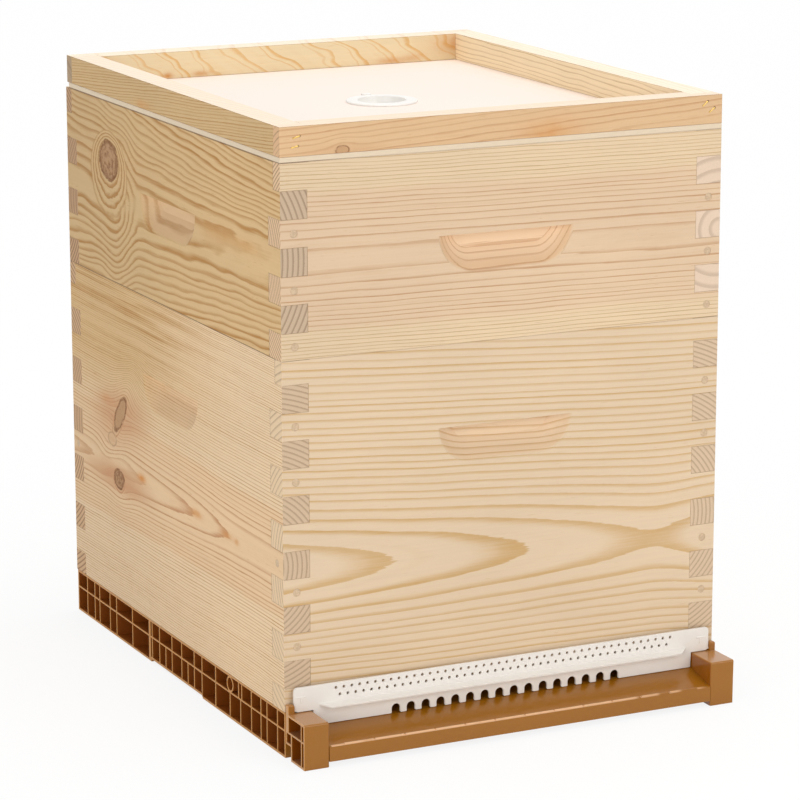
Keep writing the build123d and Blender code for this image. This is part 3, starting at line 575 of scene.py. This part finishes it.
def moulded(name, colour, rough, grain_size, relief, mottle, pockets=None, bead=None, **constants):
    """Injection-moulded plastic: a faint cloudiness and a fine skin, painted shade in pockets, painted highlight on
    ribs, bead and block tops.
    """
    material, (x, y, z), normal = fresh_finish(name)
    cloud = noise(point(x * 0.012, y * 0.012, z * 0.03), 3.0, 0.6)
    skin = noise(point(x / grain_size, y / grain_size, z / grain_size), 2.0, 0.6)
    flow = noise(point(x * 0.006, y * 0.05, z * 0.05), 2.0, 0.5)
    body = blend(cloud, tinted(colour, (1 - mottle,) * 3), tinted(colour, (1 + mottle,) * 3))
    body = shade(body, flow * mottle + skin * (0.5 * mottle) + (1.0 - 0.75 * mottle))
    if pockets:
        deep, edge, *faces = pockets
        # Painted highlight on the ribs' outer faces
        body = blend(step(abs(x), faces[1][0] - 0.6, faces[1][0] - 0.2) * 0.5, body, edge)
        # Painted shade deep in the open pockets
        body = blend(in_pockets(x, y, z, *faces) * 0.95, body, deep)
    # Painted highlight along the bead, fainter to the right, with gaps at the notches
    if bead:
        highlight_tone, bead_y, bead_z, reach, pitch = bead
        away = ((y - bead_y) * (y - bead_y) + (z - bead_z) * (z - bead_z)) ** 0.5
        past_notch = (x / pitch).maths("FRACT")
        whole = step(x, 185.0, 80.0)
        dash = step(past_notch - whole * 0.85, 0.4, 0.1)
        shine = step(noise(point(x * 0.035, 0.0, 0.0), 3.0, 0.6), 0.1, 0.5) * dash
        shine = shine * (step(x, 160.0, 50.0) * 0.3 + 0.65)
        body = blend(step(away, 1.5, 1.0) * step(abs(x), reach, reach - 1.0) * shine, body, highlight_tone)
        # Painted sheen on the tops of the end blocks
        upright = normal.node("ShaderNodeSeparateXYZ", {0: normal}, "Z")
        body = blend(step(upright, 0.8, 0.95) * step(abs(x), reach + 1.0, reach + 3.0) * 0.24, body, highlight_tone)
    return surface(material, body, cloud * 0.14 + skin * 0.08 + rough, skin * 0.6 + flow * 0.4, relief, **constants)


def panel_finish(name, settings):
    """White-faced board: a fine texture on the faces and a fibrous sawn edge."""
    material, (x, y, z), normal = fresh_finish(name)
    turned = abs(normal.node("ShaderNodeSeparateXYZ", {0: normal}, "Z"))
    weave = noise(point(x * 0.9, y * 0.9, z * 0.9), 2.0, 0.6)
    cloud = noise(point(x * 0.006, y * 0.006, z * 0.2), 2.0)
    fibres = noise(point(x * 0.12, y * 0.12, z * 2.4), 3.0, 0.7)
    face = shade(blend(cloud, tinted(settings.panel_white, (0.97, 0.96, 0.945)), settings.panel_white),
                 weave * 0.03 + 0.985)
    edge = shade(blend(fibres, tinted(settings.panel_edge, (0.86, 0.85, 0.83)), settings.panel_edge),
                 fibres * 0.12 + 0.94)
    foot = box_mm("cover_panel")[0][2]
    gap = step(z, foot + 1.1, foot + 0.4) * (step(x, -120.0, -200.0) * 0.6 + 0.25)
    edge = blend(gap, edge, settings.panel_gap)
    colour = blend(step(turned, 0.5, 0.8), edge, face)
    return surface(material, colour, weave * 0.1 + 0.5, weave, relief=0.00006, **{"Specular IOR Level": 0.35})


def wax_finish(name, settings):
    """Pressed beeswax: a lattice of cells, cloudy and a little glossy."""
    material, (x, y, z), _ = fresh_finish(name)
    cell_width = 5.3
    pitch = 2 * math.pi / (cell_width * math.sqrt(3) / 2)
    waves = [(y * math.cos(turn) + z * math.sin(turn)) * pitch for turn in (0.0, math.pi / 3, 2 * math.pi / 3)]
    cells = sum(wave.maths("COSINE") for wave in waves) / 3.0
    cloud = noise(point(x * 0.02, y * 0.02, z * 0.02), 3.0, 0.6)
    wall = step(cells, 0.25, -0.3)
    colour = blend(wall, tinted(settings.wax, (0.86, 0.80, 0.70)), settings.wax)
    colour = shade(colour, cloud * 0.25 + 0.88)
    return surface(material, colour, cloud * 0.15 + 0.4, wall, relief=0.0006, **{"Subsurface Weight": 0.08})


def metal_finish(name, colour, rough, spangle):
    """Bare metal with a brushed or spangled sheen."""
    material, (x, y, z), _ = fresh_finish(name)
    cells = x.node("ShaderNodeTexVoronoi", {"Vector": point(x / spangle, y / spangle, z / spangle), "Scale": 1.0},
                   "Color")
    grey = cells.node("ShaderNodeSeparateColor", {0: cells})
    drawn = noise(point(x * 0.05, y * 3.0, z * 3.0), 2.0)
    body = shade(blend(grey, tinted(colour, (0.86, 0.86, 0.86)), colour), drawn * 0.16 + 0.92)
    return surface(material, body, grey * 0.16 + drawn * 0.1 + rough, drawn, relief=0.00003, Metallic=1.0)


SHARP_ANGLE = 40.0  # degrees past which an edge of a solid is eased
CREASE_ANGLE = 32.0  # degrees past which an edge of a finished piece is shaded as a crease
BROAD_FACE = 4e-4  # square metres past which a face is shaded flat


def close_mesh(name, bm, finish):
    """Turn a finished bmesh into an object of the scene, smooth but for its real edges and its broad faces."""
    for face in bm.faces:
        face.smooth = face.calc_area() < BROAD_FACE
    for edge in sharp_edges(bm, CREASE_ANGLE):
        edge.smooth = False
    mesh = bpy.data.meshes.new(name)
    bm.to_mesh(mesh)
    bm.free()
    mesh.materials.append(finish)
    piece = bpy.data.objects.new(name, mesh)
    bpy.context.scene.collection.objects.link(piece)
    return piece


def stand_in(node, bm, finish):
    """Hold a dressed copy of a solid within its box, and let it stand for that, be painted and move as it does."""
    low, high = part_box(node)
    for vert in bm.verts:
        vert.co = [min(max(part, least), most) for part, least, most in zip(vert.co, low, high)]
    piece = close_mesh(f"{node}_piece", bm, finish)
    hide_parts(node)
    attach(piece, BODY_OF[node])


def sharp_edges(bm, angle=SHARP_ANGLE):
    """Edges of a solid that are sharper than an angle in degrees."""
    return [edge for edge in bm.edges if edge.is_manifold and edge.calc_face_angle() > math.radians(angle)]


def solid_copy(node):
    """A clean copy of a solid: welded, with its flat faces whole again."""
    bm = bmesh.new()
    bm.from_mesh(frame["nodes"][node].data)
    bm.faces.layers.float.new("eased")
    bmesh.ops.remove_doubles(bm, verts=bm.verts, dist=2e-6)
    bmesh.ops.dissolve_limit(bm, angle_limit=math.radians(0.6), verts=bm.verts, edges=bm.edges,
                             use_dissolve_boundaries=False)
    return bm


# Places where faces lie closer together than an edge's easing reaches, as (low, high) in millimetres on one side of
# the hive: there the edges stay as they are
PLAIN = {
    "floor_front_moulding": ((190.0, -50.0, 0.0), (216.0, -43.0, 6.0)),  # slope of the foot, at a pocket's corner
    "floor_rear_moulding": ((0.0, 60.0, 0.0), (191.0, 96.0, 30.0)),  # clips under the deck's front edge
    "entrance_door": ((200.0, -260.0, 0.0), (216.0, -220.0, 46.0)),  # roots of the pins
}


def is_plain(edge, node):
    """Whether an edge of a solid has an end in its plain place."""
    return node in PLAIN and any(
        all(low <= part / MM <= high
            for part, low, high in zip((abs(vert.co.x), vert.co.y, vert.co.z), *PLAIN[node])) for vert in edge.verts)


def ease(bm, edges, radius, segments=2):
    """Round edges over and mark the faces made, which keep out of the shading of the broad faces beside them."""
    made = bmesh.ops.bevel(bm, geom=edges, offset=radius, offset_type="OFFSET", affect="EDGES", segments=segments,
                           profile=0.5, material=-1, clamp_overlap=False)
    strips, mark = set(made["faces"]), bm.faces.layers.float["eased"]
    for face in strips:
        face[mark] = 1.0
    for edge in {edge for face in strips for edge in face.edges}:
        if not strips.issuperset(edge.link_faces):
            edge.smooth = False


def eased_copy(node, finish, radius, segments=2, shortest=0.0):
    """A solid with its sharp edges eased, as a piece that stands for it."""
    bm = solid_copy(node)
    edges = [edge for edge in sharp_edges(bm) if edge.calc_length() > shortest and not is_plain(edge, node)]
    ease(bm, edges, radius, segments)
    stand_in(node, bm, finish)


def block(bm, low, high):
    """A box between two corners, in metres."""
    size, middle = Vector(high) - Vector(low), (Vector(high) + Vector(low)) / 2
    return bmesh.ops.create_cube(bm, size=1.0, matrix=Matrix.Translation(middle) @ Matrix.Diagonal(size).to_4x4())


class HIVE_OT_box_boards(bpy.types.Operator):
    """Dress the finger-jointed boards of both boxes in planed pine"""
    bl_idname = "hive.box_boards"
    bl_label = "Box boards"

    def execute(self, context):
        settings = context.scene.hive_timber
        for box in ("brood", "super"):
            for side in ("front", "back", "left", "right"):
                node = f"{box}_{side}_board"
                eased_copy(node, board_timber(node, settings), settings.edge_round, shortest=0.0011)
        return {"FINISHED"}


class HIVE_OT_corner_pegs(bpy.types.Operator):
    """Turn the pegs that pin the corner fingers"""
    bl_idname = "hive.corner_pegs"
    bl_label = "Corner pegs"

    def execute(self, context):
        settings = context.scene.hive_timber
        for box in ("brood", "super"):
            node = f"{box}_corner_pegs"
            material, (x, y, z), _ = fresh_finish(f"{node}_wood")
            rings = noise(point(x * 0.45, y * 0.45, z * 0.45), 2.0, 0.6)
            pores = noise(point(x * 2.0, y * 2.0, z * 2.0), 2.0, 0.7)
            tone = blend(step(rings, 0.38, 0.62), tinted(settings.peg_light, (0.86, 0.84, 0.82)),
                         settings.peg_light)
            wood = surface(material, shade(tone, pores * 0.3 + 0.85), pores * 0.1 + 0.6, pores, relief=0.0001)
            eased_copy(node, wood, radius=0.00025, segments=1)
        return {"FINISHED"}


class HIVE_OT_frame_rests(bpy.types.Operator):
    """Lay the galvanised strips that the frame lugs rest on"""
    bl_idname = "hive.frame_rests"
    bl_label = "Frame rests"

    def execute(self, context):
        zinc = metal_finish("frame_rest_zinc", context.scene.hive_moulding.zinc, rough=0.32, spangle=6.0)
        for box in ("brood", "super"):
            eased_copy(f"{box}_frame_rests", zinc, radius=0.0003)
        return {"FINISHED"}


class HIVE_OT_frames(bpy.types.Operator):
    """Hang the wooden frames with their wax foundation"""
    bl_idname = "hive.frames"
    bl_label = "Frames"

    def execute(self, context):
        pine = bar_timber("frame_pine", context.scene.hive_timber, "Y")
        wax = wax_finish("foundation_wax", context.scene.hive_moulding)
        for node in sorted(frame["nodes"]):
            if "_foundation_" in node:
                eased_copy(node, wax, radius=0.0003, segments=1)
            elif "_frame_" in node and not node.endswith("rests"):
                eased_copy(node, pine, radius=0.0009)
        return {"FINISHED"}


class HIVE_OT_cover_rims(bpy.types.Operator):
    """Plane the four rims of the inner cover"""
    bl_idname = "hive.cover_rims"
    bl_label = "Cover rims"

    def execute(self, context):
        settings = context.scene.hive_timber
        for side in ("front", "back", "left", "right"):
            node = f"cover_{side}_rim"
            eased_copy(node, board_timber(node, settings), settings.edge_round, shortest=0.0015)
        return {"FINISHED"}


class HIVE_OT_cover_panel(bpy.types.Operator):
    """Cut the white-faced panel of the inner cover"""
    bl_idname = "hive.cover_panel"
    bl_label = "Cover panel"

    def execute(self, context):
        white = panel_finish("cover_panel_white", context.scene.hive_moulding)
        eased_copy("cover_panel", white, radius=0.0004)
        return {"FINISHED"}


class HIVE_OT_cover_staples(bpy.types.Operator):
    """Drive the wire staples at the cover's corners"""
    bl_idname = "hive.cover_staples"
    bl_label = "Cover staples"

    def execute(self, context):
        wire = metal_finish("staple_wire", context.scene.hive_moulding.wire, rough=0.25, spangle=2.0)
        eased_copy("cover_staples", wire, radius=0.00035, segments=3)
        return {"FINISHED"}


class HIVE_OT_feed_plug(bpy.types.Operator):
    """Mould the dished plug of the feed hole"""
    bl_idname = "hive.feed_plug"
    bl_label = "Feed hole plug"

    def execute(self, context):
        settings = context.scene.hive_moulding
        white = moulded("plug_plastic", settings.plug_white, rough=0.28, grain_size=0.5, relief=0.00002,
                        mottle=0.012)
        eased_copy("feed_hole_plug", white, radius=0.0004, segments=3)
        return {"FINISHED"}


class HIVE_OT_floor(bpy.types.Operator):
    """Mould the two halves of the floor"""
    bl_idname = "hive.floor"
    bl_label = "Floor"

    def execute(self, context):
        settings = context.scene.hive_moulding
        low, high = box_mm("floor_rear_moulding")
        low[1] = box_mm("landing_board")[1][1]
        pockets = (settings.pocket_shade, settings.rib_highlight, low, high, True)
        brown = moulded("floor_plastic", settings.floor_brown, rough=0.34, grain_size=0.4, relief=0.00004,
                        mottle=0.06, pockets=pockets)
        for node in ("floor_front_moulding", "floor_rear_moulding"):
            eased_copy(node, brown, settings.edge_round)
        return {"FINISHED"}


class HIVE_OT_landing(bpy.types.Operator):
    """Mould the landing board with its end blocks and door posts"""
    bl_idname = "hive.landing"
    bl_label = "Landing board"

    def execute(self, context):
        settings = context.scene.hive_moulding
        node = "landing_board"
        low, high = box_mm(node)
        block_top = box_mm("floor_rear_moulding")[1][2] - 0.3
        pockets = (settings.pocket_shade, settings.rib_highlight, low, (high[0], high[1], block_top), False)
        bead_inset, bead_level, bead_reach, bead_pitch = 0.9, 19.05, 189.0, 29.5
        bead = (settings.landing_highlight, low[1] + bead_inset, bead_level, bead_reach, bead_pitch)
        brown = moulded("landing_plastic", settings.floor_brown, rough=0.2, grain_size=0.4, relief=0.00004,
                        mottle=0.05, pockets=pockets, bead=bead,
                        **{"Specular IOR Level": 0.12, "Coat Weight": 0.7, "Coat Roughness": 0.15})
        bm = solid_copy(node)

        def in_front(vert, reach):
            return vert.co.y < (low[1] + reach) * MM

        # The blocks' outer corners are rounder. The short edges left there and the bead's own edges stay as they are.
        block_edge, block_inside, deck_lip = 0.2135, 0.1912, 0.0165
        corners = [edge for edge in sharp_edges(bm) if edge.calc_length() > 0.005
                   and all(abs(vert.co.x) > block_edge and in_front(vert, 0.1) for vert in edge.verts)]
        ease(bm, corners, radius=0.0009, segments=3)
        corner_rims = {edge for edge in bm.edges if edge.calc_length() < 0.0012 and any(
            abs(vert.co.x) > block_edge - 0.0005 and in_front(vert, 1.3) for vert in edge.verts)}
        bead_edges = {edge for edge in bm.edges if any(
            abs(vert.co.x) < block_inside and in_front(vert, 2.2) and vert.co.z > deck_lip for vert in edge.verts)}
        kept = corner_rims | bead_edges
        ease(bm, [edge for edge in sharp_edges(bm) if edge.is_convex and edge not in kept], settings.edge_round)
        stand_in(node, bm, brown)
        return {"FINISHED"}


class HIVE_OT_door(bpy.types.Operator):
    """Mould the entrance door with its relief marks"""
    bl_idname = "hive.door"
    bl_label = "Entrance door"

    def execute(self, context):
        settings = context.scene.hive_moulding
        white = moulded("door_plastic", settings.door_white, rough=0.34, grain_size=0.5, relief=0.00003,
                        mottle=0.02)
        node = "entrance_door"
        bm = solid_copy(node)
        ease(bm, [edge for edge in sharp_edges(bm) if not is_plain(edge, node)], settings.edge_round)
        plate_reach, proud, sunk = 0.0042, 0.0006, 0.0004
        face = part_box("landing_board")[1][1] - plate_reach
        for bar_start, bar_end, stem in ((-0.2070, -0.1972, -0.2012), (0.1958, 0.2060, 0.1992)):
            for (start, foot), (end, top) in (((bar_start, 0.0538), (bar_end, 0.0554)),
                                              ((stem - 0.0008, 0.0488), (stem + 0.0008, 0.0540))):
                mark = block(bm, (start, face - proud, foot), (end, face + sunk, top))["verts"]
                ease(bm, [edge for edge in bm.edges if edge.verts[0] in mark], radius=0.0004)
        stand_in(node, bm, white)
        return {"FINISHED"}


def seen_rays(rays):
    """1 for rays that look at the background, straight or in a reflection."""
    mirrored = rays.also("Is Glossy Ray").maths("MAXIMUM", rays.also("Is Transmission Ray"))
    return rays.maths("MAXIMUM", mirrored)


class HIVE_OT_stage(bpy.types.Operator):
    """Set up the pale floor, the soft lamps and the camera"""
    bl_idname = "hive.stage"
    bl_label = "Stage"

    def execute(self, context):
        settings, scene = context.scene.hive_studio, context.scene
        scene.view_settings.view_transform = "Standard"
        self.lay_floor(settings)
        self.light_room(scene, settings)
        lens = bpy.data.cameras.new("camera")
        lens.lens, lens.sensor_width = settings.lens, 36.0
        camera = bpy.data.objects.new("camera", lens)
        camera.location, camera.rotation_euler = settings.camera_place, settings.camera_turn
        scene.collection.objects.link(camera)
        scene.camera = camera
        return {"FINISHED"}

    def lay_floor(self, settings):
        """A wide pale floor that takes a soft shadow."""
        gap = 0.0003
        bm = bmesh.new()
        bmesh.ops.create_grid(bm, x_segments=1, y_segments=1, size=settings.floor_size / 2,
                              matrix=Matrix.Translation((0, 0, -gap)))
        material = bpy.data.materials.new("studio_floor")
        tree = fresh_tree(material)
        rays = source(tree, "ShaderNodeLightPath", "Is Camera Ray")
        place = source(tree, "ShaderNodeTexCoord", "Object")
        away = place.node("ShaderNodeVectorMath", {0: place}, "Value", operation="LENGTH")
        pale = rays.node("ShaderNodeBsdfDiffuse", {"Color": settings.floor_tone})
        glow = rays.node("ShaderNodeEmission", {"Color": (1.0, 1.0, 1.0), "Strength": 1.0})
        share = seen_rays(rays) * (step(away, 0.35, 1.1) * 0.13 + 0.86)
        mixed = rays.node("ShaderNodeMixShader", {0: share, 1: pale, 2: glow})
        rays.node("ShaderNodeOutputMaterial", {"Surface": mixed})
        close_mesh("studio_floor", bm, material)

    def light_room(self, scene, settings):
        """Even light from all round, two broad lamps in front and one overhead."""
        world = bpy.data.worlds.new("studio")
        scene.world = world
        rays = source(fresh_tree(world), "ShaderNodeLightPath", "Is Camera Ray")
        strength = seen_rays(rays) * (1.0 - settings.world_light) + settings.world_light
        glow = rays.node("ShaderNodeBackground", {"Color": (1.0, 1.0, 1.0), "Strength": strength})
        rays.node("ShaderNodeOutputWorld", {"Surface": glow})
        for name, place, aim, size, power in (
                ("left_lamp", (-3.2, -2.3, 1.0), (0.0, 0.0, 0.25), 2.25, settings.left_power),
                ("right_lamp", (1.1, -2.5, 1.3), (0.0, 0.0, 0.25), 1.6, settings.right_power),
                ("top_lamp", (0.3, 0.2, 3.4), (0.0, 0.0, 0.3), 2.4, settings.top_power)):
            data = bpy.data.lights.new(name, "AREA")
            data.shape, data.size, data.energy = "SQUARE", size, power
            lamp = bpy.data.objects.new(name, data)
            lamp.location = place
            lamp.rotation_euler = (Vector(aim) - Vector(place)).to_track_quat("-Z", "Y").to_euler()
            scene.collection.objects.link(lamp)


PIECES = (HIVE_OT_floor, HIVE_OT_landing, HIVE_OT_door, HIVE_OT_box_boards, HIVE_OT_corner_pegs,
          HIVE_OT_frame_rests, HIVE_OT_frames, HIVE_OT_cover_panel, HIVE_OT_cover_rims, HIVE_OT_cover_staples,
          HIVE_OT_feed_plug, HIVE_OT_stage)


class HIVE_PT_pieces(bpy.types.Panel):
    """The hive's settings and pieces"""
    bl_idname = "HIVE_PT_pieces"
    bl_label = "Framed beehive"
    bl_space_type = "VIEW_3D"
    bl_region_type = "UI"
    bl_category = "Hive"

    def draw(self, context):
        column = self.layout.column()
        for group in (context.scene.hive_timber, context.scene.hive_moulding, context.scene.hive_studio):
            for name in group.bl_rna.properties.keys():
                if name not in ("rna_type", "name"):
                    column.prop(group, name)
        for piece in PIECES:
            column.operator(piece.bl_idname)


CLASSES = (TimberSettings, MouldingSettings, StudioSettings, *PIECES, HIVE_PT_pieces)


def register():
    for kind in CLASSES:
        bpy.utils.register_class(kind)
    bpy.types.Scene.hive_timber = PointerProperty(type=TimberSettings)
    bpy.types.Scene.hive_moulding = PointerProperty(type=MouldingSettings)
    bpy.types.Scene.hive_studio = PointerProperty(type=StudioSettings)


def unregister():
    del bpy.types.Scene.hive_studio, bpy.types.Scene.hive_moulding, bpy.types.Scene.hive_timber
    for kind in reversed(CLASSES):
        bpy.utils.unregister_class(kind)


def main():
    register()
    for piece in PIECES:
        group, name = piece.bl_idname.split(".")
        getattr(getattr(bpy.ops, group), name)()


if __name__ == "__main__":
    main()
